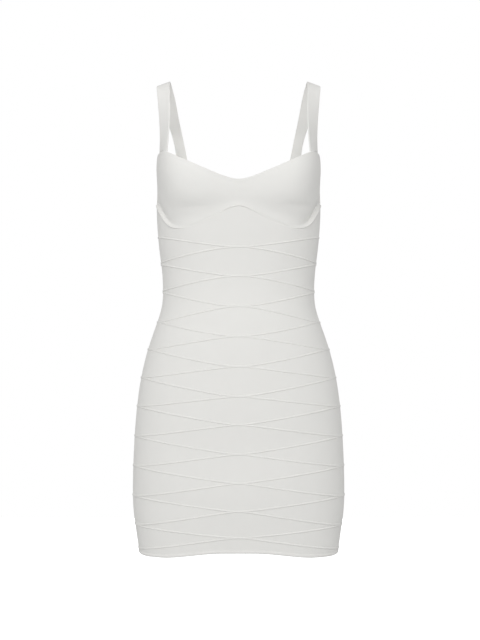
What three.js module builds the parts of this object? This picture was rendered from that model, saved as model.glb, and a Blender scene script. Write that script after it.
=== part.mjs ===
// A short, close-fitting dress in white ridged knit, hollow and filled out as it is worn.
// Millimetres, +Z up, the front faces -Y. The origin lies midway between the two straps,
// at the level where they pass over the shoulders.
//
// The garment is a tube of two knitted panels, front and back, under a front bust panel
// with two moulded cups. A cord covers the seam below the cups, and each strap runs in one
// piece from the top corner of its cup over the shoulder to the top edge of the back.

import * as THREE from 'three';

// Cloth and seams
const WALL = 2;
const SEAM_GAP = 0.3;
const CLOTH_COLOUR = 0xe9e8e3;
const CLOTH_ROUGHNESS = 0.95;

// Horizontal sections of the tube. side is the half width, front and back are the depths
// from the side seams, square is the exponent of the superellipse (2 is an ellipse), and
// cross is how far from centre front, measured straight across, slanting ridges meet.
const SECTIONS = [
  { z: -780, side: 164, front: 86, back: 95, square: 2.6, cross: 168 },
  { z: -731, side: 171, front: 91, back: 101, square: 2.5, cross: 169 },
  { z: -704, side: 174.2, front: 94, back: 106, square: 2.4, cross: 170 },
  { z: -664, side: 175.2, front: 97, back: 113, square: 2.35, cross: 171 },
  { z: -611, side: 173.7, front: 98.5, back: 121, square: 2.3, cross: 171 },
  { z: -545, side: 169.3, front: 97.5, back: 124, square: 2.3, cross: 167 },
  { z: -478, side: 159.6, front: 95.5, back: 114, square: 2.25, cross: 156 },
  { z: -438, side: 149.4, front: 93, back: 103, square: 2.2, cross: 143 },
  { z: -399, side: 136, front: 88, back: 90, square: 2.2, cross: 129 },
  { z: -372, side: 127.8, front: 84, back: 82, square: 2.15, cross: 129 },
  { z: -340, side: 125.4, front: 81, back: 76, square: 2.15, cross: 131 },
  { z: -306, side: 127.6, front: 82, back: 75, square: 2.15, cross: 134 },
  { z: -279, side: 131, front: 84, back: 77, square: 2.2, cross: 134 },
  { z: -240, side: 134.5, front: 88, back: 82, square: 2.2, cross: 134 },
  { z: -200, side: 135.6, front: 92, back: 86, square: 2.2, cross: 134 },
  { z: -175, side: 134.8, front: 93.5, back: 87, square: 2.2, cross: 134 },
  { z: -150, side: 135.8, front: 93, back: 86, square: 2.2, cross: 134 },
  { z: -125, side: 135.2, front: 89, back: 82, square: 2.2, cross: 134 },
  { z: -100, side: 134, front: 84, back: 76, square: 2.2, cross: 134 },
];

// Raised ridges of the tube: pairs meet at centre front and back, part on their way round,
// meet the next pair and run on beside it as one to the side seam. centre is the level of
// a pair at centre front and side the level where its lower ridge meets the pair below it.
const RIDGE_WIDTH = 3.2;
const RIDGE_HEIGHT = 1.2;
const CENTRE_ROUNDING = 0.06;
const RIDGE_BEND = 1.3;
const WIDEST_SIDE = 175;
const CLOSEST_CRESTS = 0.8;
const TOP_RIDGE_SIDE = -255.5;
const RIDGE_PAIRS = [
  { centre: -273.8, side: -299.4 },
  { centre: -320.8, side: -345.3 },
  { centre: -369.7, side: -395.8 },
  { centre: -418.2, side: -440.4 },
  { centre: -467, side: -487 },
  { centre: -515.1, side: -534 },
  { centre: -560.6, side: -582.7 },
  { centre: -608.3, side: -631.7 },
  { centre: -655, side: -680.8 },
  { centre: -700.5, side: -728.3 },
  { centre: -743.4, side: -768 },
];

// Lower edge: a narrow knitted rim, a little lower beside the centre than at it
const HEM_LEVEL = -769;
const HEM_DROP = 9;
const HEM_RISE_AT_SIDE = 3;
const HEM_RIM = 4.6;
const HEM_RIM_PROUD = 0.7;
const HEM_RIM_SLOPE = 0.8;

// Seam below the cups, by angle from centre front
const CUP_SEAM = [
  { angle: 0, z: -207 },
  { angle: 6.5, z: -211 },
  { angle: 13, z: -219 },
  { angle: 22, z: -229.5 },
  { angle: 34, z: -239.5 },
  { angle: 45, z: -242.5 },
  { angle: 57, z: -235 },
  { angle: 67, z: -219 },
  { angle: 79, z: -206 },
  { angle: 90, z: -202 },
];

// Cups: how far they stand out from the chest, shared out round the body and up the panel
const CUP_DEPTH = 25;
const CUP_ROUND = [
  { angle: 0, share: 0.1 },
  { angle: 8, share: 0.15 },
  { angle: 18, share: 0.34 },
  { angle: 29, share: 0.64 },
  { angle: 40, share: 0.9 },
  { angle: 50, share: 1 },
  { angle: 60, share: 0.93 },
  { angle: 69, share: 0.68 },
  { angle: 77, share: 0.36 },
  { angle: 84, share: 0.12 },
  { angle: 90, share: 0 },
];
const CUP_RISE = [
  { up: 0, share: 0 },
  { up: 0.1, share: 0.06 },
  { up: 0.2, share: 0.2 },
  { up: 0.3, share: 0.43 },
  { up: 0.4, share: 0.68 },
  { up: 0.5, share: 0.87 },
  { up: 0.6, share: 0.97 },
  { up: 0.69, share: 1 },
  { up: 0.81, share: 0.96 },
  { up: 0.91, share: 0.87 },
  { up: 1, share: 0.74 },
];

// Top edges
const NECK_DIP = -164.8;
const NECK_ROUNDING = 20;
const STRAP_FRONT = { level: -118.7, inner: 57, outer: 72 };
const STRAP_BACK = { level: -148.5, inner: 36, outer: 47 };
const UNDERARM_LEVEL = -150;
const ARMHOLE_CURVE = 2.6;
const BACK_DIP = -156;

// Strap edges between the two panels on the wearer's left, from the back over the
// shoulder to the front; o is the edge away from the neck and i the edge near it.
const STRAP_ROWS = [
  { ox: 108.5, oy: 41, oz: -98, ix: 92.6, iy: 59, iz: -98 },
  { ox: 119, oy: 29, oz: -62, ix: 100.6, iy: 43, iz: -58 },
  { ox: 128.5, oy: 19, oz: -32, ix: 107, iy: 28, iz: -22 },
  { ox: 134.5, oy: 10, oz: -11, ix: 112, iy: 15, iz: -2 },
  { ox: 136, oy: 0, oz: -4, ix: 113.8, iy: 0, iz: 4 },
  { ox: 135.6, oy: -10, oz: -12, ix: 114, iy: -18, iz: -5 },
  { ox: 133.8, oy: -19, oz: -32, ix: 113.6, iy: -34, iz: -27 },
  { ox: 131.2, oy: -26, oz: -62, ix: 113.2, iy: -47, iz: -60 },
  { ox: 129.8, oy: -31, oz: -92, ix: 115, iy: -55, iz: -92 },
];

// Cord over the seam below the cups
const CORD_RADIUS = 1;
const CORD_SIDES = 6;

// Mesh steps
const TUBE_COLUMNS = 20;
const TUBE_INNER_ROWS = 17;
const PLAIN_TOP_ROWS = 4;
const BUST_ROWS = 13;
const BUST_COLUMNS = 2 * TUBE_COLUMNS;
const STRAP_COLUMNS = 3;
const STRAP_STEPS = 27;
const NORMAL_STEP = 0.2;

const { clamp, degToRad, lerp, smoothstep } = THREE.MathUtils;

const spread = (from, to, steps) => (
  Array.from({ length: steps + 1 }, (_, i) => lerp(from, to, i / steps))
);

// A smooth curve through one column of a table, held level beyond its ends
function curveThrough(table, along, column) {
  const rows = [...table].sort((a, b) => a[along] - b[along]);
  const keys = rows.map((row) => row[along]);
  const values = rows.map((row) => row[column]);
  const last = rows.length - 1;
  const slope = (i) => (values[i + 1] - values[i]) / (keys[i + 1] - keys[i]);
  const tangent = (i) => {
    if (i === 0) return slope(0);
    if (i === last) return slope(last - 1);
    return (slope(i - 1) + slope(i)) / 2;
  };
  return (at) => {
    const key = clamp(at, keys[0], keys[last]);
    let i = 0;
    while (i < last - 1 && key > keys[i + 1]) i += 1;
    const span = keys[i + 1] - keys[i];
    const t = (key - keys[i]) / span;
    const rest = 1 - t;
    const ends = values[i] * rest * rest * (1 + 2 * t) + values[i + 1] * t * t * (3 - 2 * t);
    return ends + span * t * rest * (tangent(i) * rest - tangent(i + 1) * t);
  };
}

const sideAt = curveThrough(SECTIONS, 'z', 'side');
const frontAt = curveThrough(SECTIONS, 'z', 'front');
const backAt = curveThrough(SECTIONS, 'z', 'back');
const squareAt = curveThrough(SECTIONS, 'z', 'square');
const crossAt = curveThrough(SECTIONS, 'z', 'cross');
const cupSeamCurve = curveThrough(CUP_SEAM, 'angle', 'z');
const cupRoundAt = curveThrough(CUP_ROUND, 'angle', 'share');
const cupRiseAt = curveThrough(CUP_RISE, 'up', 'share');

// A point of the plain tube. face is -1 on the front and 1 on the back, and the angle runs
// from -90 to 90 degrees round each, with 0 at the centre and x growing with the angle.
function tubePoint(face, angle, z) {
  const turn = degToRad(angle);
  const across = Math.sin(turn);
  const along = Math.cos(turn);
  const power = squareAt(z);
  const reach = (Math.abs(across) ** power + Math.abs(along) ** power) ** (-1 / power);
  const depth = face < 0 ? frontAt(z) : backAt(z);
  const seam = (face * SEAM_GAP) / 2;
  return new THREE.Vector3(sideAt(z) * across * reach, face * depth * along * reach + seam, z);
}

// A point of the bust panel, up from the seam below the cups (0) to the top edge (1)
function bustPoint(angle, up) {
  const z = lerp(bustFootAt(angle), bustTopAt(angle), up);
  const point = tubePoint(-1, angle, z);
  point.y -= CUP_DEPTH * cupRoundAt(Math.abs(angle)) * cupRiseAt(up);
  return point;
}

// The outward direction of a surface that is given as pointAt(angle, height)
function outward(pointAt, face, angle, height, heightStep) {
  const right = pointAt(angle + NORMAL_STEP, height).sub(pointAt(angle - NORMAL_STEP, height));
  const up = pointAt(angle, height + heightStep).sub(pointAt(angle, height - heightStep));
  return right.cross(up).normalize().multiplyScalar(-face);
}

function bustNormal(angle, up) {
  const step = 0.002;
  const inside = clamp(up, step, 1 - step);
  return outward(bustPoint, -1, angle, inside, step);
}

function tubeNormal(face, angle, z) {
  return outward((a, height) => tubePoint(face, a, height), face, angle, z, NORMAL_STEP);
}

// Edges of the panels

// The seam runs straight between the columns of the tube, so that both panels keep to it
function cupSeamAt(angle) {
  const step = 180 / TUBE_COLUMNS;
  const column = Math.min(Math.floor(Math.abs(angle) / step), TUBE_COLUMNS / 2 - 1);
  const from = cupSeamCurve(column * step);
  const to = cupSeamCurve((column + 1) * step);
  return lerp(from, to, Math.abs(angle) / step - column);
}

function bustFootAt(angle) {
  return cupSeamAt(angle) + SEAM_GAP / 2;
}

function bustTopAt(angle) {
  const away = Math.abs(angle);
  if (away >= STRAP_FRONT.outer) {
    const round = (away - STRAP_FRONT.outer) / (90 - STRAP_FRONT.outer);
    return lerp(STRAP_FRONT.level, UNDERARM_LEVEL, round ** ARMHOLE_CURVE);
  }
  const climb = (at) => {
    const x = tubePoint(-1, at, STRAP_FRONT.level).x;
    return Math.hypot(x, NECK_ROUNDING) - NECK_ROUNDING;
  };
  const share = climb(Math.min(away, STRAP_FRONT.inner)) / climb(STRAP_FRONT.inner);
  return lerp(NECK_DIP, STRAP_FRONT.level, share);
}

function backTopAt(angle) {
  const away = Math.abs(angle);
  const scoop = smoothstep(away, 0, STRAP_BACK.inner);
  const underarm = smoothstep(away, STRAP_BACK.outer, 90);
  return lerp(BACK_DIP, STRAP_BACK.level, scoop) + (UNDERARM_LEVEL - STRAP_BACK.level) * underarm;
}

function hemAt(angle) {
  const away = Math.abs(angle);
  const drop = HEM_DROP * smoothstep(away, 8, 45);
  const rise = HEM_RISE_AT_SIDE * smoothstep(away, 55, 90);
  return HEM_LEVEL - drop + rise;
}

// The share of its slant that a ridge has reached at an angle from the centre, on its way
// to a meeting at the given level. It is straight over the hips and bends at the waist.
function slantShare(angle, meeting) {
  const across = Math.min(Math.abs(tubePoint(-1, angle, meeting).x) / crossAt(meeting), 1);
  const flat = CENTRE_ROUNDING;
  const straight = (Math.hypot(across, flat) - flat) / (Math.hypot(1, flat) - flat);
  return straight ** (1 + RIDGE_BEND * (1 - sideAt(meeting) / WIDEST_SIDE));
}

// Levels of all ridge crests at one angle, from the top down
function crestLevels(angle) {
  const least = CLOSEST_CRESTS / 2;
  return RIDGE_PAIRS.flatMap(({ centre, side }, pair) => {
    const sideAbove = pair === 0 ? TOP_RIDGE_SIDE : RIDGE_PAIRS[pair - 1].side;
    const [rise, fall] = [sideAbove - centre, centre - side];
    const up = clamp(rise * slantShare(angle, sideAbove), least, rise - least);
    const down = clamp(fall * slantShare(angle, side), least, fall - least);
    return [centre + up, centre - down];
  });
}

// Height of the ridged surface over the plain tube, at a distance from the nearest crest
function ridgeHeight(distance) {
  return RIDGE_HEIGHT * Math.max(0, 1 - distance / (RIDGE_WIDTH / 2));
}

// Heights down one column of a tube panel: level and how far the surface stands out
function tubeProfile(angle, top) {
  const foot = RIDGE_WIDTH / 2;
  const crests = crestLevels(angle);
  const hem = hemAt(angle);
  const profile = [];
  for (let row = 0; row < PLAIN_TOP_ROWS; row += 1) {
    profile.push({ z: lerp(top, crests[0] + foot, row / PLAIN_TOP_ROWS), out: 0 });
  }
  profile.push({ z: crests[0] + foot, out: 0 });
  crests.forEach((crest, i) => {
    profile.push({ z: crest, out: RIDGE_HEIGHT });
    const below = i + 1 < crests.length ? crests[i + 1] : null;
    if (below === null) return;
    const space = crest - below;
    const near = Math.min(foot, space * 0.3);
    profile.push({ z: crest - near, out: ridgeHeight(near) });
    profile.push({ z: crest - space / 2, out: ridgeHeight(space / 2) });
    profile.push({ z: below + near, out: ridgeHeight(near) });
  });
  const lastFoot = crests[crests.length - 1] - foot;
  const rimTop = hem + HEM_RIM;
  profile.push({ z: lastFoot, out: 0 });
  profile.push({ z: (lastFoot + rimTop) / 2, out: 0 });
  profile.push({ z: rimTop, out: 0 });
  profile.push({ z: rimTop - HEM_RIM_SLOPE, out: HEM_RIM_PROUD });
  profile.push({ z: hem + HEM_RIM_SLOPE, out: HEM_RIM_PROUD });
  profile.push({ z: hem, out: 0 });
  return profile;
}

// Wall meshes

// Triangles between two point lines that run the same way, one on each side of a rim
function zipRim(points, faces, lineA, lineB) {
  const along = (i, j) => points[lineA[i]].distanceTo(points[lineB[j]]);
  let a = 0;
  let b = 0;
  while (a < lineA.length - 1 || b < lineB.length - 1) {
    const canA = a < lineA.length - 1;
    const canB = b < lineB.length - 1;
    if (canA && (!canB || along(a + 1, b) <= along(a, b + 1))) {
      faces.push([lineA[a], lineB[b], lineA[a + 1]]);
      a += 1;
    } else {
      faces.push([lineA[a], lineB[b], lineB[b + 1]]);
      b += 1;
    }
  }
}

// A closed wall between an outer and an inner grid. Both have the same number of columns,
// from left to right as the outside is looked at, and each column runs from top to bottom.
function wallMesh(name, outer, inner) {
  const points = [];
  const faces = [];
  const place = (grid) => grid.map((column) => column.map((point) => points.push(point) - 1));
  const out = place(outer);
  const into = place(inner);
  const cover = (grid, flip) => {
    for (let i = 0; i < grid.length - 1; i += 1) {
      for (let j = 0; j < grid[i].length - 1; j += 1) {
        const [a, b] = [grid[i][j], grid[i + 1][j]];
        const [c, d] = [grid[i][j + 1], grid[i + 1][j + 1]];
        faces.push(flip ? [a, d, c] : [a, c, d]);
        faces.push(flip ? [a, b, d] : [a, d, b]);
      }
    }
  };
  cover(out, false);
  cover(into, true);
  const last = out.length - 1;
  zipRim(points, faces, into.map((column) => column[0]), out.map((column) => column[0]));
  zipRim(points, faces, out.map((column) => column.at(-1)), into.map((column) => column.at(-1)));
  zipRim(points, faces, out[0], into[0]);
  zipRim(points, faces, into[last], out[last]);
  return clothMesh(name, points, faces);
}

function clothMesh(name, points, faces) {
  const geometry = new THREE.BufferGeometry();
  geometry.setFromPoints(points);
  geometry.setIndex(faces.flat());
  geometry.computeVertexNormals();
  const material = new THREE.MeshStandardMaterial({
    color: CLOTH_COLOUR,
    roughness: CLOTH_ROUGHNESS,
    metalness: 0,
  });
  const mesh = new THREE.Mesh(geometry, material);
  mesh.name = name;
  return mesh;
}

// Front or back panel of the tube, ridged outside and plain inside
function makeTubePanel(name, face, topAt) {
  const angles = spread(90 * face, -90 * face, TUBE_COLUMNS);
  const outer = angles.map((angle) => tubeProfile(angle, topAt(angle)).map(({ z, out }) => (
    tubePoint(face, angle, z).addScaledVector(tubeNormal(face, angle, z), out)
  )));
  const inner = angles.map((angle) => (
    spread(topAt(angle), hemAt(angle), TUBE_INNER_ROWS).map((z) => (
      tubePoint(face, angle, z).addScaledVector(tubeNormal(face, angle, z), -WALL)
    ))
  ));
  return wallMesh(name, outer, inner);
}

// Bust panel with its two cups
function makeBustPanel() {
  const corner = STRAP_FRONT.outer;
  const halfStep = 90 / BUST_COLUMNS;
  const angles = spread(-90, 90, BUST_COLUMNS).map((angle) => (
    Math.abs(Math.abs(angle) - corner) < halfStep ? Math.sign(angle) * corner : angle
  ));
  const shares = spread(1, 0, BUST_ROWS);
  const grid = (out) => angles.map((angle) => shares.map((up) => (
    bustPoint(angle, up).addScaledVector(bustNormal(angle, up), out)
  )));
  return wallMesh('bust_front', grid(0), grid(-WALL));
}

// Cord laid along the seam, clear of the cup above it and of the tube below it
function makeCupSeamCord() {
  const points = [];
  const faces = [];
  const angles = spread(-90, 90, BUST_COLUMNS);
  angles.forEach((angle) => {
    const seam = tubePoint(-1, angle, cupSeamAt(angle));
    const cupSide = bustNormal(angle, 0);
    const tubeSide = tubeNormal(-1, angle, seam.z);
    const out = cupSide.clone().add(tubeSide).normalize();
    const ahead = tubePoint(-1, angle + 1, cupSeamAt(angle + 1));
    const behind = tubePoint(-1, angle - 1, cupSeamAt(angle - 1));
    const run = ahead.sub(behind).normalize();
    const isEnd = Math.abs(angle) === 90;
    if (isEnd) out.setY(0).normalize();
    if (isEnd) run.set(0, Math.sign(angle), 0);
    const across = new THREE.Vector3().crossVectors(out, run).normalize();
    const centre = seam.addScaledVector(out, (CORD_RADIUS + SEAM_GAP) / out.dot(tubeSide));
    for (let side = 0; side < CORD_SIDES; side += 1) {
      const turn = (side / CORD_SIDES) * Math.PI * 2;
      const point = centre.clone().addScaledVector(out, CORD_RADIUS * Math.cos(turn));
      points.push(point.addScaledVector(across, CORD_RADIUS * Math.sin(turn)));
    }
  });
  for (let step = 0; step < BUST_COLUMNS; step += 1) {
    for (let side = 0; side < CORD_SIDES; side += 1) {
      const next = (side + 1) % CORD_SIDES;
      const [a, b] = [step * CORD_SIDES + side, step * CORD_SIDES + next];
      faces.push([a, a + CORD_SIDES, b + CORD_SIDES], [a, b + CORD_SIDES, b]);
    }
  }
  const end = BUST_COLUMNS * CORD_SIDES;
  for (let side = 1; side < CORD_SIDES - 1; side += 1) {
    faces.push([0, side, side + 1], [end, end + side + 1, end + side]);
  }
  return clothMesh('cup_seam_cord', points, faces);
}

// The unit direction away from the body at one point of a grid of columns
function gridNormal(grid, i, j) {
  const last = grid.length - 1;
  const foot = grid[i].length - 1;
  const right = grid[Math.min(i + 1, last)][j].clone().sub(grid[Math.max(i - 1, 0)][j]);
  const up = grid[i][Math.max(j - 1, 0)].clone().sub(grid[i][Math.min(j + 1, foot)]);
  const normal = right.cross(up);
  if (j === 0 || j === foot) normal.setZ(0);
  return normal.normalize();
}

// One strap. hand is 1 on the +X side of the dress and -1 on the other.
function makeStrap(name, hand) {
  const lift = new THREE.Vector3(0, 0, SEAM_GAP);
  const lines = spread(0, 1, STRAP_COLUMNS).map((share) => {
    const back = tubePoint(1, lerp(STRAP_BACK.inner, STRAP_BACK.outer, share), STRAP_BACK.level);
    const front = bustPoint(lerp(STRAP_FRONT.inner, STRAP_FRONT.outer, share), 1);
    const between = STRAP_ROWS.map((row) => new THREE.Vector3(
      lerp(row.ix, row.ox, share),
      lerp(row.iy, row.oy, share),
      lerp(row.iz, row.oz, share),
    ));
    const route = [back.add(lift), ...between, front.add(lift)];
    return new THREE.CatmullRomCurve3(route, false, 'centripetal').getSpacedPoints(STRAP_STEPS);
  });
  const outer = lines.map((line) => line.map((p) => new THREE.Vector3(p.x * hand, p.y, p.z)));
  if (hand < 0) outer.reverse();
  const inner = outer.map((line, i) => line.map((point, j) => (
    point.clone().addScaledVector(gridNormal(outer, i, j), -WALL)
  )));
  return wallMesh(name, outer, inner);
}

const dress = new THREE.Group();
dress.add(
  makeBustPanel(),
  makeCupSeamCord(),
  makeTubePanel('body_front', -1, (angle) => cupSeamAt(angle) - SEAM_GAP / 2),
  makeTubePanel('body_back', 1, backTopAt),
  makeStrap('strap_left', -1),
  makeStrap('strap_right', 1),
);

export default dress;
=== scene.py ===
"""A short white dress in ridged knit, hollow as worn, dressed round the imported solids.

Blender metres in the CAD frame: +Z up, the front faces -Y, the origin between the straps at
shoulder level. The tables hold millimetres, as the garment is measured, and repeat the
sizes of the solids. Each cloth piece is a thin closed shell in place of its solid.
"""

import math

import bpy
import numpy as np
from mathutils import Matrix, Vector


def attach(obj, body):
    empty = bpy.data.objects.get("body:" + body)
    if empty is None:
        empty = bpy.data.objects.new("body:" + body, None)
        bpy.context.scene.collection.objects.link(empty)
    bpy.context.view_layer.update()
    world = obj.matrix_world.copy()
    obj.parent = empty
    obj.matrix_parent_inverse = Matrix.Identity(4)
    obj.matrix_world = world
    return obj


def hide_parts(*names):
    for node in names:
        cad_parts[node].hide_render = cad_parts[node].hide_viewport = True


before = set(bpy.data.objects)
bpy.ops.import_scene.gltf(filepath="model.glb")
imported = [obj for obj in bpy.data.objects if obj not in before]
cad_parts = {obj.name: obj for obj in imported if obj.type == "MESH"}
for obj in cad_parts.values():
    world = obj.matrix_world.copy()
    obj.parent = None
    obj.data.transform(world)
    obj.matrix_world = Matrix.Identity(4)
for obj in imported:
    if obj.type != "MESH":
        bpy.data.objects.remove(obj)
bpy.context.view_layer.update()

MM = 0.001
BODY = "root"

# Cloth: the gap at the side seams is closed further here than in the solids
WALL = 2.0
SEAM_GAP = 0.3
SIDE_GAP = 0.04
EDGE_ROUND = WALL / 2
SHARP_FOLD = math.radians(50)
WHITE = (0.82, 0.815, 0.79)
BAND_WHITE = (0.785, 0.78, 0.757)

# Horizontal sections of the tube: level, half width, depth of front and back from the side
# seams, exponent of the superellipse, and how far from the centre slanting ridges meet.
SECTIONS = np.array([
    (-780, 164, 86, 95, 2.6, 168),
    (-731, 171, 91, 101, 2.5, 169),
    (-704, 174.2, 94, 106, 2.4, 170),
    (-664, 175.2, 97, 113, 2.35, 171),
    (-611, 173.7, 98.5, 121, 2.3, 171),
    (-545, 169.3, 97.5, 124, 2.3, 167),
    (-478, 159.6, 95.5, 114, 2.25, 156),
    (-438, 149.4, 93, 103, 2.2, 143),
    (-399, 136, 88, 90, 2.2, 129),
    (-372, 127.8, 84, 82, 2.15, 129),
    (-340, 125.4, 81, 76, 2.15, 131),
    (-306, 127.6, 82, 75, 2.15, 134),
    (-279, 131, 84, 77, 2.2, 134),
    (-240, 134.5, 88, 82, 2.2, 134),
    (-200, 135.6, 92, 86, 2.2, 134),
    (-175, 134.8, 93.5, 87, 2.2, 134),
    (-150, 135.8, 93, 86, 2.2, 134),
    (-125, 135.2, 89, 82, 2.2, 134),
    (-100, 134, 84, 76, 2.2, 134),
])

# Ridges, and the levels of each pair: at the centre, and where it meets the pair below it
RIDGE_WIDTH = 3.0
RIDGE_HEIGHT = 1.0
CENTRE_ROUNDING = 0.06
RIDGE_BEND = 1.3
WIDEST_SIDE = 175.0
CLOSEST_CRESTS = 0.5
RIDGE_ROUNDNESS = 0.75
RIDGE_ROW_STEPS = (0.22, 0.44, 0.66, 0.84, 1.0, 1.25)
FLAT_ROW_STEPS = (0.35, 0.7, 1.0)
TOP_RIDGE_SIDE = -255.5
RIDGE_PAIRS = (
    (-273.8, -299.4),
    (-320.8, -345.3),
    (-369.7, -395.8),
    (-418.2, -440.4),
    (-467, -487),
    (-515.1, -534),
    (-560.6, -582.7),
    (-608.3, -631.7),
    (-655, -680.8),
    (-700.5, -728.3),
    (-743.4, -768),
)

# Hem: it drops away from the centre and rises again at the side seams. The rows of its rim
# are levels over the rim's top and shares of how far it stands proud.
HEM_LEVEL = -769.0
HEM_DROP = 9.0
HEM_RISE_AT_SIDE = 3.0
HEM_RIM = 4.6
HEM_RIM_PROUD = 0.7
HEM_RIM_ROWS = (
    (0.35, 0.12),
    (-0.1, 0.5),
    (-0.6, 0.75),
    (-1.4, 1.0),
    (-2.4, 1.0),
    (-3.2, 0.85),
)

# Seam below the cups: angle from centre front and level
CUP_SEAM = np.array([
    (0, -207),
    (6.5, -211),
    (13, -219),
    (22, -229.5),
    (34, -239.5),
    (45, -242.5),
    (57, -235),
    (67, -219),
    (79, -206),
    (90, -202),
])

# Cups: how far they stand out, shared out round the body and up the panel
CUP_DEPTH = 25.0
CUP_ROUND = np.array([
    (0, 0.1),
    (8, 0.15),
    (18, 0.34),
    (29, 0.64),
    (40, 0.9),
    (50, 1),
    (60, 0.93),
    (69, 0.68),
    (77, 0.36),
    (84, 0.12),
    (90, 0),
])
CUP_RISE = np.array([
    (0, 0),
    (0.1, 0.06),
    (0.2, 0.2),
    (0.3, 0.43),
    (0.4, 0.68),
    (0.5, 0.87),
    (0.6, 0.97),
    (0.69, 1),
    (0.81, 0.96),
    (0.91, 0.87),
    (1, 0.74),
])

# Top edges
NECK_DIP = -164.8
NECK_ROUNDING = 20.0
STRAP_FRONT = {"level": -118.7, "inner": 57.0, "outer": 72.0}
STRAP_BACK = {"level": -148.5, "inner": 36.0, "outer": 47.0}
STRAP_MARGIN = 0.04
UNDERARM_LEVEL = -150.0
ARMHOLE_CURVE = 2.6
BACK_DIP = -156.0

# Strap on the +X side from back to front: the edge away from the neck, then the one near it
STRAP_ROWS = np.array([
    (108.5, 41, -98, 92.6, 59, -98),
    (119, 29, -62, 100.6, 43, -58),
    (128.5, 19, -32, 107, 28, -22),
    (134.5, 10, -11, 112, 15, -2),
    (136, 0, -4, 113.8, 0, 4),
    (135.6, -10, -12, 114, -18, -5),
    (133.8, -19, -32, 113.6, -34, -27),
    (131.2, -26, -62, 113.2, -47, -60),
    (129.8, -31, -92, 115, -55, -92),
])

# Cord over the cup seam: it is sunk where the casing is faint
CORD_RADIUS = 1.0
CORD_SUNK = -0.8

# Relief on the bust panel: the casing that swells towards the seam, and turned top edges
CASING_WIDTH = 9.0
CASING_RISE = 1.15
CASING_SHARES = np.array([
    (0, 0.6),
    (6, 0.5),
    (12, 0.25),
    (20, 0.08),
    (38, 0.1),
    (47, 0.6),
    (60, 1),
    (78, 0.8),
    (90, 0.5),
])
# Fold between the casing and the outer side of a cup, by angle from the centre
CORNER_HOLLOW = np.array([
    (0, 0),
    (34, 0),
    (44, 1.4),
    (54, 4.8),
    (63, 7.6),
    (74, 8.0),
    (84, 5.2),
    (90, 3.0),
])
HOLLOW_EDGE = 5.0
HOLLOW_HEIGHT = 27.0
HOLLOW_UNEVEN = 0.12
TURNED_EDGE = 4.5
TURNED_EDGE_RISE = 0.3
STRAP_FOOT_ARCH = 2.2

# Soft creases: angle from the centre, level, half length in degrees, half width, depth and
# slant, which is how much the level grows with each degree. Below 0 deep, it is a swell.
BUST_CREASES = (
    (-33, -209, 11, 6, 0.9, 0.02),
    (44, -207, 12, 6, 1.0, -0.03),
    (3, -186, 7, 5, 0.35, 0.0),
    (-35, -240, 14, 12, -2.0, 0.45),
    (36, -240, 14, 12, -2.2, -0.45),
)
FRONT_CREASES = (
    (-35, -240, 14, 34, -2.0, 0.45),
    (36, -240, 14, 34, -2.2, -0.45),
    (-80, -318, 16, 5, 1.0, 0.1),
    (-70, -352, 14, 6, 0.9, 0.25),
    (77, -331, 18, 6, 1.1, -0.12),
    (84, -365, 12, 5, 0.8, -0.3),
    (-24, -402, 20, 9, 0.7, -0.1),
    (0, -608, 34, 45, 4.0, 0.0),
    (31, -588, 22, 14, 0.8, 0.15),
    (-38, -690, 24, 13, 0.9, -0.12),
    (66, -742, 14, 8, 0.7, 0.2),
)
BACK_CREASES = (
    (-8, -322, 30, 7, 1.3, 0.05),
    (12, -347, 26, 7, 1.5, -0.06),
    (-20, -371, 22, 6, 1.1, 0.1),
    (62, -338, 16, 5, 1.0, -0.2),
    (-66, -356, 14, 6, 0.9, 0.25),
    (-34, -641, 20, 10, 1.4, -0.15),
    (38, -648, 22, 9, 1.6, 0.12),
    (0, -205, 34, 10, 0.7, 0.0),
)

# Camera: the photograph is 480 x 640, with the dress this far away and this much in view
PHOTO_WIDTH = 480
PHOTO_HEIGHT = 640
PIXEL = 1.66
CAMERA_DISTANCE = 3000.0
CAMERA_LEVEL = -392.0
CENTRE_COLUMN = 238.6

# Studio, in metres: area lights have a size, strap lights a cone in degrees, and both have
# the place they stand at, the point they aim at and their power
DRESS_MIDDLE = (0, 0, -0.4)
WORLD_LIGHT = 0.58
FLOOR_LEVEL = -1.38
FLOOR_HALF = 6.0
AREA_LIGHTS = (
    ("front", (-0.7, -2.8, 1.0), (3.4, 2.0), 45),
    ("fill", (1.2, -2.7, 0.5), (2.0, 2.0), 9),
    ("back", (0, 3.0, 0.5), (2.2, 1.8), 14),
)
STRAP_LIGHTS = (
    ("strap_light_left", (0.6, -3.0, -0.9), (-0.09, 0.03, -0.01), 4.0, 68),
    ("strap_light_right", (-0.6, -3.0, -0.9), (0.09, 0.03, -0.01), 4.0, 54),
    ("strap_foot_light_left", (0.3, -3.0, 0.9), (-0.085, 0.08, -0.12), 1.5, 150),
    ("strap_foot_light_right", (-0.3, -3.0, 0.9), (0.085, 0.08, -0.12), 1.5, 100),
)


def curve_through(keys, values):
    """A natural cubic spline through a table column, held level beyond its ends."""
    keys = np.asarray(keys, float)
    values = np.asarray(values, float)
    count = len(keys)
    step = np.diff(keys)
    rise = np.diff(values) / step
    matrix = np.eye(count)
    right = np.zeros(count)
    for i in range(1, count - 1):
        matrix[i, i - 1:i + 2] = step[i - 1], 2 * (step[i - 1] + step[i]), step[i]
        right[i] = 6 * (rise[i] - rise[i - 1])
    bend = np.linalg.solve(matrix, right)

    def at(key):
        key = np.clip(key, keys[0], keys[-1])
        i = np.clip(np.searchsorted(keys, key, side="right") - 1, 0, count - 2)
        width = step[i]
        ahead = (keys[i + 1] - key) / width
        behind = 1 - ahead
        return (
            ahead * values[i]
            + behind * values[i + 1]
            + ((ahead**3 - ahead) * bend[i] + (behind**3 - behind) * bend[i + 1]) * width**2 / 6
        )

    return at


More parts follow.
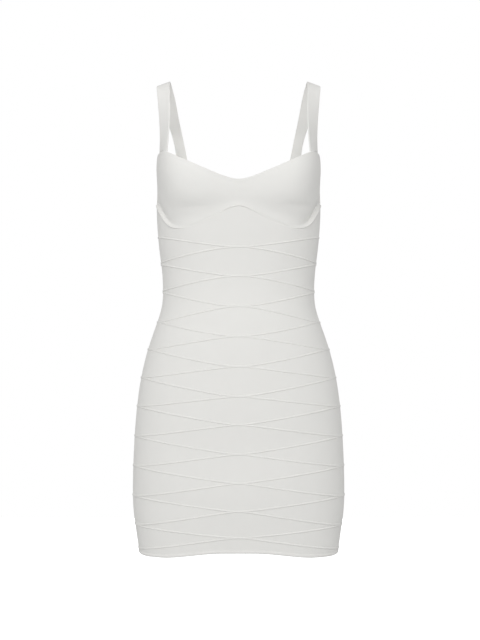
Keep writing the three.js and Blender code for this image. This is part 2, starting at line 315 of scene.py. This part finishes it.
side_at, front_at, back_at, square_at, cross_at = (
    curve_through(SECTIONS[:, 0], SECTIONS[:, column]) for column in range(1, 6)
)
cup_seam_curve = curve_through(CUP_SEAM[:, 0], CUP_SEAM[:, 1])
cup_round_at = curve_through(CUP_ROUND[:, 0], CUP_ROUND[:, 1])
cup_rise_at = curve_through(CUP_RISE[:, 0], CUP_RISE[:, 1])
casing_share_at = curve_through(CASING_SHARES[:, 0], CASING_SHARES[:, 1])
hollow_at = curve_through(CORNER_HOLLOW[:, 0], CORNER_HOLLOW[:, 1])


def smoothstep(value, low, high):
    t = np.clip((value - low) / (high - low), 0, 1)
    return t * t * (3 - 2 * t)


def mix(a, b, t):
    return a + (b - a) * t


def unit(vectors):
    return vectors / np.maximum(np.linalg.norm(vectors, axis=-1, keepdims=True), 1e-9)


def tube_point(face, angle, z):
    """Points of the plain tube; face is -1 in front and 1 behind, the angle is in degrees."""
    angle, z = np.broadcast_arrays(np.asarray(angle, float), np.asarray(z, float))
    across = np.sin(np.radians(angle))
    along = np.cos(np.radians(angle))
    power = square_at(z)
    reach = (np.abs(across) ** power + np.abs(along) ** power) ** (-1 / power)
    depth = front_at(z) if face < 0 else back_at(z)
    x = side_at(z) * across * reach
    y = face * (depth * along * reach + SIDE_GAP / 2)
    return np.stack([x, y, z], axis=-1)


def outward(point_at, face, angle, height, step):
    right = point_at(angle + 0.2, height) - point_at(angle - 0.2, height)
    up = point_at(angle, height + step) - point_at(angle, height - step)
    return unit(np.cross(right, up)) * -face


def tube_normal(face, angle, z):
    return outward(lambda a, h: tube_point(face, a, h), face, angle, z, 0.4)


def bust_foot_at(angle):
    return cup_seam_curve(np.abs(angle)) + SEAM_GAP / 2


def bust_top_at(angle):
    away = np.abs(angle)
    inner, outer = STRAP_FRONT["inner"], STRAP_FRONT["outer"]
    level = STRAP_FRONT["level"]

    def climb(at):
        x = tube_point(-1, at, level)[..., 0]
        return np.hypot(x, NECK_ROUNDING) - NECK_ROUNDING

    share = climb(np.minimum(away, inner)) / climb(inner)
    foot = np.clip((away - inner) / (outer - inner), 0, 1)
    neck = mix(NECK_DIP, level, share) + STRAP_FOOT_ARCH * np.sin(math.pi * foot)
    around = np.clip((away - outer) / (90 - outer), 0, 1)
    armhole = mix(level, UNDERARM_LEVEL, around**ARMHOLE_CURVE)
    return np.where(away >= outer, armhole, neck)


def front_top_at(angle):
    return cup_seam_curve(np.abs(angle)) - SEAM_GAP / 2


def back_top_at(angle):
    away = np.abs(angle)
    scoop = smoothstep(away, 0, STRAP_BACK["inner"])
    underarm = smoothstep(away, STRAP_BACK["outer"], 90)
    return mix(BACK_DIP, STRAP_BACK["level"], scoop) + (UNDERARM_LEVEL - STRAP_BACK["level"]) * underarm


def hem_at(angle):
    away = np.abs(angle)
    return HEM_LEVEL - HEM_DROP * smoothstep(away, 8, 45) + HEM_RISE_AT_SIDE * smoothstep(away, 55, 90)


def bust_point(angle, up, inset=0.0):
    """Points of the bust panel, from its seam (0) to its top edge (1), inset from both."""
    angle, up = np.broadcast_arrays(np.asarray(angle, float), np.asarray(up, float))
    z = mix(bust_foot_at(angle) + inset, bust_top_at(angle) - inset, up)
    points = tube_point(-1, angle, z)
    points[..., 1] -= CUP_DEPTH * cup_round_at(np.abs(angle)) * cup_rise_at(np.clip(up, 0, 1))
    return points


def bust_normal(angle, up):
    step = 0.004
    return outward(bust_point, -1, angle, np.clip(up, step, 1 - step), step)


def slant_share(angle, meeting):
    across = np.minimum(np.abs(tube_point(-1, angle, meeting)[..., 0]) / cross_at(meeting), 1)
    flat = CENTRE_ROUNDING
    straight = (np.hypot(across, flat) - flat) / (math.hypot(1, flat) - flat)
    return straight ** (1 + RIDGE_BEND * (1 - side_at(meeting) / WIDEST_SIDE))


def crest_levels(angle):
    levels = []
    least = CLOSEST_CRESTS / 2
    side_above = TOP_RIDGE_SIDE
    for centre, side in RIDGE_PAIRS:
        rise, fall = side_above - centre, centre - side
        up = np.clip(rise * slant_share(angle, side_above), least, rise - least)
        down = np.clip(fall * slant_share(angle, side), least, fall - least)
        levels += [centre + up, centre - down]
        side_above = side
    return levels


def ridge_height(distance):
    hump = np.maximum(0, 1 - (distance / (RIDGE_WIDTH / 2)) ** 2)
    return RIDGE_HEIGHT * hump**RIDGE_ROUNDNESS


def tube_profile(angle, top):
    """Rows of a tube panel from the top down: levels and heights over the plain tube."""
    near = RIDGE_WIDTH / 2 * np.array(RIDGE_ROW_STEPS)
    reach = near[-1]
    crests = crest_levels(angle)
    rows = []

    def plain(start, end, count):
        for i in range(count):
            rows.append((mix(start, end, i / count), np.zeros_like(angle)))

    plain(top - EDGE_ROUND, crests[0] + reach, 24)
    for distance in near[::-1]:
        rows.append((crests[0] + distance, ridge_height(distance) + np.zeros_like(angle)))
    for i, crest in enumerate(crests):
        rows.append((crest, np.full_like(angle, RIDGE_HEIGHT)))
        if i + 1 == len(crests):
            break
        space = crest - crests[i + 1]
        scale = np.minimum(1, space / (2 * reach))
        middle = space / 2 - reach * scale
        offsets = [distance * scale for distance in near]
        offsets += [reach * scale + middle * share for share in FLAT_ROW_STEPS]
        for offset in offsets:
            rows.append((crest - offset, ridge_height(offset)))
        for offset in offsets[-2::-1]:
            rows.append((crests[i + 1] + offset, ridge_height(offset)))
    last = crests[-1]
    for distance in near:
        rows.append((last - distance, ridge_height(distance) + np.zeros_like(angle)))
    hem = hem_at(angle)
    rim_top = hem + HEM_RIM
    below = last - reach
    for i in range(1, 6):
        rows.append((mix(below, rim_top + 0.8, i / 5), np.zeros_like(angle)))
    for lift, share in HEM_RIM_ROWS:
        rows.append((rim_top + lift, np.full_like(angle, HEM_RIM_PROUD * share)))
    rows.append((hem + EDGE_ROUND, np.full_like(angle, HEM_RIM_PROUD * 0.7)))
    levels = np.stack([row[0] for row in rows], axis=-1)
    heights = np.stack([row[1] for row in rows], axis=-1)
    return levels, heights


def make_object(name, points, faces, place):
    """A smooth mesh from millimetres, with each point's place in the cloth for the knit."""
    mesh = bpy.data.meshes.new(name)
    mesh.from_pydata([tuple(point) for point in np.asarray(points) * MM], [], faces)
    mesh.validate()
    mesh.shade_smooth()
    mesh.set_sharp_from_angle(angle=SHARP_FOLD)
    layer = mesh.attributes.new("cloth_place", "FLOAT_VECTOR", "POINT")
    layer.data.foreach_set("vector", np.asarray(place, np.float32).ravel())
    piece = bpy.data.objects.new(name, mesh)
    bpy.context.scene.collection.objects.link(piece)
    return piece


def zip_lines(points, line_a, line_b, flip):
    """Triangles between two lines of points that run the same way."""
    faces = []
    a = b = 0
    while a < len(line_a) - 1 or b < len(line_b) - 1:
        can_a = a < len(line_a) - 1
        can_b = b < len(line_b) - 1
        step_a = can_a and math.dist(points[line_a[a + 1]], points[line_b[b]])
        step_b = can_b and math.dist(points[line_a[a]], points[line_b[b + 1]])
        if can_a and (not can_b or step_a <= step_b):
            face = (line_a[a], line_b[b], line_a[a + 1])
            a += 1
        else:
            face = (line_a[a], line_b[b], line_b[b + 1])
            b += 1
        faces.append(face[::-1] if flip else face)
    return faces


def cloth_place(grid):
    """Distance round and level of each point of a grid, in millimetres, for the knit."""
    steps = np.linalg.norm(np.diff(grid, axis=0), axis=-1)
    around = np.concatenate([np.zeros((1, grid.shape[1])), np.cumsum(steps, axis=0)])
    around -= around[len(around) // 2]
    down = np.linalg.norm(np.diff(grid, axis=1), axis=-1)
    along = np.concatenate([np.zeros((grid.shape[0], 1)), np.cumsum(down, axis=1)], axis=1)
    return np.stack([around, along, np.zeros_like(around)], axis=-1)


def edge_arc(outer_end, outer_next, inner_end, steps):
    """Points round an edge from the outer face to the inner one, one arc for each column."""
    middle = (outer_end + inner_end) / 2
    half = outer_end - middle
    beyond = unit(outer_end - outer_next)
    radius = np.linalg.norm(half, axis=-1, keepdims=True)
    turns = [math.pi * i / (steps + 1) for i in range(1, steps + 1)]
    return np.stack([
        middle + half * math.cos(turn) + beyond * radius * math.sin(turn) for turn in turns
    ], axis=1)


def closed_wall(name, outer, inner, arc_steps=4):
    """A closed cloth wall. Grids are (columns, rows, 3): columns from left to right as the
    outside is looked at, rows from the top down. The edges across the columns are round."""
    foot = edge_arc(outer[:, -1], outer[:, -2], inner[:, -1], arc_steps)
    head = edge_arc(outer[:, 0], outer[:, 1], inner[:, 0], arc_steps)[:, ::-1]
    loops = np.concatenate([outer, foot, inner[:, ::-1], head], axis=1)
    place_out, place_in = cloth_place(outer), cloth_place(inner)
    places = np.concatenate([
        place_out,
        np.repeat(place_out[:, -1:], arc_steps, axis=1),
        place_in[:, ::-1],
        np.repeat(place_out[:, :1], arc_steps, axis=1),
    ], axis=1)
    columns, ring = loops.shape[:2]
    points = loops.reshape(-1, 3)
    faces = []
    for i in range(columns - 1):
        for k in range(ring):
            after = (k + 1) % ring
            a, c = i * ring + k, i * ring + after
            faces.append((a, c, c + ring, a + ring))
    rows_out, rows_in = outer.shape[1], inner.shape[1]
    for column, flip in ((0, False), (columns - 1, True)):
        start = column * ring
        line_out = [start + k for k in range(rows_out)]
        line_in = [start + rows_out + arc_steps + k for k in range(rows_in)][::-1]
        faces += zip_lines(points, line_out, line_in, flip)
        foot_cap = [start + rows_out + arc_steps - 1 - k for k in range(arc_steps)]
        foot_cap = [line_in[-1]] + foot_cap + [line_out[-1]]
        head_cap = [start + ring - 1 - k for k in range(arc_steps)]
        head_cap = [line_out[0]] + head_cap + [line_in[0]]
        for cap in (foot_cap, head_cap):
            faces.append(tuple(cap[::-1] if flip else cap))
    return make_object(name, points, faces, places.reshape(-1, 3))


def crease_depth(creases, angle, z):
    depth = np.zeros(np.broadcast(angle, z).shape)
    for middle, level, length, width, deep, slant in creases:
        along = (angle - middle) / length
        across = (z - level - slant * (angle - middle)) / width
        depth += deep * np.exp(-(along**2) - across**2)
    return depth


def tube_panel(name, face, top_at, creases, columns):
    angles = np.linspace(90 * face, -90 * face, columns + 1) * 1.0
    levels, heights = tube_profile(angles, top_at(angles))
    grid = np.broadcast_to(angles[:, None], levels.shape)
    heights = heights - crease_depth(creases, grid, levels)
    outer = tube_point(face, grid, levels) + tube_normal(face, grid, levels) * heights[..., None]
    shares = np.linspace(0, 1, 80)
    inner_levels = mix(
        (top_at(angles) - EDGE_ROUND)[:, None], (hem_at(angles) + EDGE_ROUND)[:, None], shares
    )
    grid = np.broadcast_to(angles[:, None], inner_levels.shape)
    depth = WALL + crease_depth(creases, grid, inner_levels)
    inner = tube_point(face, grid, inner_levels)
    inner -= tube_normal(face, grid, inner_levels) * depth[..., None]
    return closed_wall(name, outer, inner)


def bust_relief(angle, above_seam, below_edge):
    casing = CASING_RISE * smoothstep(CASING_WIDTH - above_seam, 0, CASING_WIDTH)
    casing *= casing_share_at(np.abs(angle))
    turned = TURNED_EDGE_RISE * smoothstep(TURNED_EDGE - below_edge, -0.5, 0.5)
    return casing + turned


def corner_hollow(angle, above_seam):
    """The fold under the outer side of each cup: deepest beside the casing."""
    rise = smoothstep(above_seam, 0, HOLLOW_EDGE)
    fall = np.clip(1 - above_seam / HOLLOW_HEIGHT, 0, 1) ** 2
    return hollow_at(np.abs(angle)) * rise * fall * (1 + HOLLOW_UNEVEN * np.sign(angle))


def bust_panel(name, columns, rows):
    corner = STRAP_FRONT["outer"]
    half_step = 90 / columns
    angles = np.linspace(-90, 90, columns + 1)
    snap = np.abs(np.abs(angles) - corner) < half_step
    angles = np.where(snap, np.sign(angles) * corner, angles)
    shares = (1 + np.cos(np.linspace(0, math.pi, rows + 1))) / 2
    grid, up = np.meshgrid(angles, shares, indexing="ij")
    plain = bust_point(grid, up, EDGE_ROUND)
    normal = bust_normal(grid, up)
    above_seam = plain[..., 2] - bust_foot_at(grid)
    depth = crease_depth(BUST_CREASES, grid, plain[..., 2]) + corner_hollow(grid, above_seam)
    relief = bust_relief(grid, above_seam, bust_top_at(grid) - plain[..., 2])
    outer = plain + normal * (relief - depth)[..., None]
    inner = plain - normal * (WALL + depth)[..., None]
    return closed_wall(name, outer, inner)


def seam_cord(name, columns, sides):
    angles = np.linspace(-90, 90, columns + 1)
    levels = cup_seam_curve(np.abs(angles))
    seam = tube_point(-1, angles, levels)
    tube_side = tube_normal(-1, angles, levels)
    out = unit(bust_normal(angles, np.zeros_like(angles)) + tube_side)
    run = unit(np.gradient(seam, axis=0))
    out[[0, -1], 1] = 0
    out = unit(out)
    run[[0, -1]] = ((0, -1, 0), (0, 1, 0))
    across = unit(np.cross(out, run))
    proud = casing_share_at(np.abs(angles))[:, None]
    radius = CORD_RADIUS * (0.9 + 0.1 * proud)
    lift = (radius + SEAM_GAP) / np.sum(out * tube_side, axis=-1, keepdims=True)
    sunk = crease_depth(FRONT_CREASES, angles, levels)[:, None]
    centre = seam + out * (mix(CORD_SUNK, lift, proud) - sunk)
    turns = np.linspace(0, 2 * math.pi, sides, endpoint=False)
    rings = (
        centre[:, None]
        + radius[:, None] * np.cos(turns)[None, :, None] * out[:, None]
        + radius[:, None] * np.sin(turns)[None, :, None] * across[:, None]
    )
    faces = []
    for i in range(columns):
        for k in range(sides):
            after = (k + 1) % sides
            a, b = i * sides + k, i * sides + after
            faces.append((a, a + sides, b + sides, b))
    faces.append(tuple(range(sides)))
    faces.append(tuple(columns * sides + k for k in reversed(range(sides))))
    travel = np.cumsum(np.concatenate([[0], np.linalg.norm(np.diff(centre, axis=0), axis=1)]))
    places = np.stack(np.broadcast_arrays(
        travel[:, None], (turns * CORD_RADIUS)[None, :], np.zeros((1, 1))
    ), axis=-1)
    return make_object(name, rings.reshape(-1, 3), faces, places.reshape(-1, 3))


def catmull_rom(points, count):
    """Evenly spaced points of a centripetal curve through the points, (lines, points, 3)."""
    first = 2 * points[0] - points[1]
    last = 2 * points[-1] - points[-2]
    stops = np.concatenate([[first], points, [last]])
    gaps = np.sqrt(np.linalg.norm(np.diff(stops, axis=0), axis=-1))
    knots = np.concatenate([[0], np.cumsum(gaps)])
    samples = []
    for i in range(1, len(stops) - 2):
        k0, k1, k2, k3 = knots[i - 1:i + 3]
        p0, p1, p2, p3 = stops[i - 1:i + 3]
        for t in np.linspace(k1, k2, 24, endpoint=False):
            a1 = p0 + (p1 - p0) * (t - k0) / (k1 - k0)
            a2 = p1 + (p2 - p1) * (t - k1) / (k2 - k1)
            a3 = p2 + (p3 - p2) * (t - k2) / (k3 - k2)
            b1 = a1 + (a2 - a1) * (t - k0) / (k2 - k0)
            b2 = a2 + (a3 - a2) * (t - k1) / (k3 - k1)
            samples.append(b1 + (b2 - b1) * (t - k1) / (k2 - k1))
    samples = np.array(samples + [stops[-2]])
    travel = np.concatenate([[0], np.cumsum(np.linalg.norm(np.diff(samples, axis=0), axis=-1))])
    spots = np.linspace(0, travel[-1], count + 1)
    return np.stack([np.interp(spots, travel, samples[:, axis]) for axis in range(3)], axis=-1)


def grid_normal(grid):
    right = np.gradient(grid, axis=0)
    up = -np.gradient(grid, axis=1)
    normal = np.cross(right, up)
    normal[:, [0, -1], 2] = 0
    return unit(normal)


def strap(name, hand, steps, width_steps):
    lines = []
    for share in np.linspace(STRAP_MARGIN, 1 - STRAP_MARGIN, width_steps + 1):
        back_angle = mix(STRAP_BACK["inner"], STRAP_BACK["outer"], share)
        front_angle = mix(STRAP_FRONT["inner"], STRAP_FRONT["outer"], share)
        back = tube_point(1, back_angle, STRAP_BACK["level"] + SEAM_GAP)
        front = bust_point(front_angle, 1.0)
        front[2] += SEAM_GAP
        between = mix(STRAP_ROWS[:, 3:], STRAP_ROWS[:, :3], share)
        lines.append(catmull_rom(np.concatenate([[back], between, [front]]), steps))
    grid = np.stack(lines) * np.array([hand, 1, 1])
    if hand < 0:
        grid = grid[::-1]
    inner = grid - grid_normal(grid) * WALL
    turned = [np.swapaxes(layer, 0, 1)[::-1] for layer in (grid, inner)]
    return closed_wall(name, *turned)


def node(tree, kind, location=(0, 0), **values):
    made = tree.nodes.new(kind)
    made.location = location
    for key, value in values.items():
        setattr(made, key, value)
    return made


def knit_material(name, colour, wale, course, bump, roughness=0.92):
    """Matte knit: stitches as bump at their real size, faint mottling and course lines."""
    material = bpy.data.materials.new(name)
    material.use_nodes = True
    tree = material.node_tree
    link = tree.links.new
    shader = tree.nodes["Principled BSDF"]
    shader.inputs["Roughness"].default_value = roughness
    shader.inputs["Specular IOR Level"].default_value = 0.25
    shader.inputs["Sheen Weight"].default_value = 0.12
    shader.inputs["Sheen Roughness"].default_value = 0.5
    place = node(tree, "ShaderNodeAttribute", attribute_name="cloth_place")
    split = node(tree, "ShaderNodeSeparateXYZ")
    link(place.outputs["Vector"], split.inputs[0])

    def math_node(operation, first, second=None):
        made = node(tree, "ShaderNodeMath", operation=operation)
        for socket, value in zip(made.inputs, (first, second)):
            if isinstance(value, (int, float)):
                socket.default_value = value
            elif value is not None:
                link(value, socket)
        return made.outputs[0]

    across, down = split.outputs[0], split.outputs[1]
    wale_turn = math_node("MULTIPLY", across, math.pi / wale)
    wale_wave = math_node("ABSOLUTE", math_node("SINE", wale_turn))
    slope = math_node("MULTIPLY", wale_wave, 0.35 * course)
    shifted = math_node("ADD", down, slope)
    course_wave = math_node("SINE", math_node("MULTIPLY", shifted, 2 * math.pi / course))
    wales = math_node("MULTIPLY", wale_wave, 0.7)
    courses = math_node("MULTIPLY", course_wave, 0.3)
    stitch = math_node("ADD", wales, courses)

    mottle = node(tree, "ShaderNodeTexNoise")
    mottle.inputs["Scale"].default_value = 0.035
    mottle.inputs["Detail"].default_value = 3
    link(place.outputs["Vector"], mottle.inputs["Vector"])
    ramp = node(tree, "ShaderNodeMix", data_type="RGBA")
    link(mottle.outputs["Fac"], ramp.inputs["Factor"])
    ramp.inputs["A"].default_value = (*[c * 0.975 for c in colour], 1)
    ramp.inputs["B"].default_value = (*colour, 1)
    link(ramp.outputs["Result"], shader.inputs["Base Color"])

    surface = node(tree, "ShaderNodeBump")
    surface.inputs["Strength"].default_value = 1.0
    surface.inputs["Distance"].default_value = bump * MM
    link(stitch, surface.inputs["Height"])
    link(surface.outputs["Normal"], shader.inputs["Normal"])
    return material


def dress_piece(piece, nodes, material):
    piece.data.materials.append(material)
    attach(piece, BODY)
    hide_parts(*nodes)
    return piece


def add_camera():
    data = bpy.data.cameras.new("camera")
    data.sensor_fit = "VERTICAL"
    data.angle = 2 * math.atan(PHOTO_HEIGHT * PIXEL / 2 / CAMERA_DISTANCE)
    data.clip_end = 50
    camera = bpy.data.objects.new("camera", data)
    x = (PHOTO_WIDTH / 2 - CENTRE_COLUMN) * PIXEL
    camera.location = Vector((x, -CAMERA_DISTANCE, CAMERA_LEVEL)) * MM
    camera.rotation_euler = (math.pi / 2, 0, 0)
    bpy.context.scene.collection.objects.link(camera)
    bpy.context.scene.camera = camera


def place_light(name, data, place, target):
    light = bpy.data.objects.new(name, data)
    light.location = place
    light.rotation_euler = (Vector(target) - Vector(place)).to_track_quat("-Z", "Y").to_euler()
    bpy.context.scene.collection.objects.link(light)


def area_light(name, place, target, size, power):
    data = bpy.data.lights.new(name, "AREA")
    data.shape = "RECTANGLE"
    data.size, data.size_y = size
    data.energy = power
    place_light(name, data, place, target)


def spot_light(name, place, target, cone, power):
    data = bpy.data.lights.new(name, "SPOT")
    data.spot_size = math.radians(cone)
    data.spot_blend = 0.9
    data.shadow_soft_size = 0.01
    data.energy = power
    place_light(name, data, place, target)


def add_world():
    """White behind the dress, and an even grey light from all sides."""
    world = bpy.data.worlds.new("studio")
    world.use_nodes = True
    tree = world.node_tree
    light = tree.nodes["Background"]
    light.inputs["Color"].default_value = (1, 1, 1, 1)
    light.inputs["Strength"].default_value = WORLD_LIGHT
    white = node(tree, "ShaderNodeBackground")
    white.inputs["Color"].default_value = (1, 1, 1, 1)
    white.inputs["Strength"].default_value = 1.0
    path = node(tree, "ShaderNodeLightPath")
    blend = node(tree, "ShaderNodeMixShader")
    tree.links.new(path.outputs["Is Camera Ray"], blend.inputs[0])
    tree.links.new(light.outputs[0], blend.inputs[1])
    tree.links.new(white.outputs[0], blend.inputs[2])
    tree.links.new(blend.outputs[0], tree.nodes["World Output"].inputs["Surface"])
    bpy.context.scene.world = world


def add_floor():
    signs = ((-1, -1), (1, -1), (1, 1), (-1, 1))
    corners = [(x * FLOOR_HALF, y * FLOOR_HALF, FLOOR_LEVEL) for x, y in signs]
    mesh = bpy.data.meshes.new("floor")
    mesh.from_pydata(corners, [], [(0, 1, 2, 3)])
    floor = bpy.data.objects.new("floor", mesh)
    material = bpy.data.materials.new("floor_white")
    material.use_nodes = True
    shader = material.node_tree.nodes["Principled BSDF"]
    shader.inputs["Base Color"].default_value = (0.9, 0.9, 0.9, 1)
    shader.inputs["Roughness"].default_value = 0.9
    shader.inputs["Emission Color"].default_value = (1, 1, 1, 1)
    shader.inputs["Emission Strength"].default_value = 1.0
    mesh.materials.append(material)
    floor.visible_diffuse = False
    floor.visible_glossy = False
    bpy.context.scene.collection.objects.link(floor)


def add_lights():
    for name, place, size, power in AREA_LIGHTS:
        area_light(name, place, DRESS_MIDDLE, size, power)
    for name, place, target, cone, power in STRAP_LIGHTS:
        spot_light(name, place, target, cone, power)


bpy.context.scene.view_settings.view_transform = "Standard"
add_camera()
add_world()
add_floor()
add_lights()

ridged = knit_material("ridged_knit", WHITE, 1.3, 1.0, 0.12)
moulded = knit_material("moulded_knit", WHITE, 1.2, 0.9, 0.09)
band = knit_material("strap_knit", BAND_WHITE, 1.0, 0.8, 0.08)

front = dress_piece(
    tube_panel("front_panel", -1, front_top_at, FRONT_CREASES, 130),
    ["body_front"], ridged,
)
back = dress_piece(
    tube_panel("back_panel", 1, back_top_at, BACK_CREASES, 130),
    ["body_back"], ridged,
)
bust = dress_piece(bust_panel("bust_panel", 180, 120), ["bust_front"], moulded)
cord = dress_piece(seam_cord("cup_seam_piping", 240, 12), ["cup_seam_cord"], moulded)
straps = [
    dress_piece(strap(f"{node_name}_band", hand, 170, 14), [node_name], band)
    for node_name, hand in (("strap_left", -1), ("strap_right", 1))
]
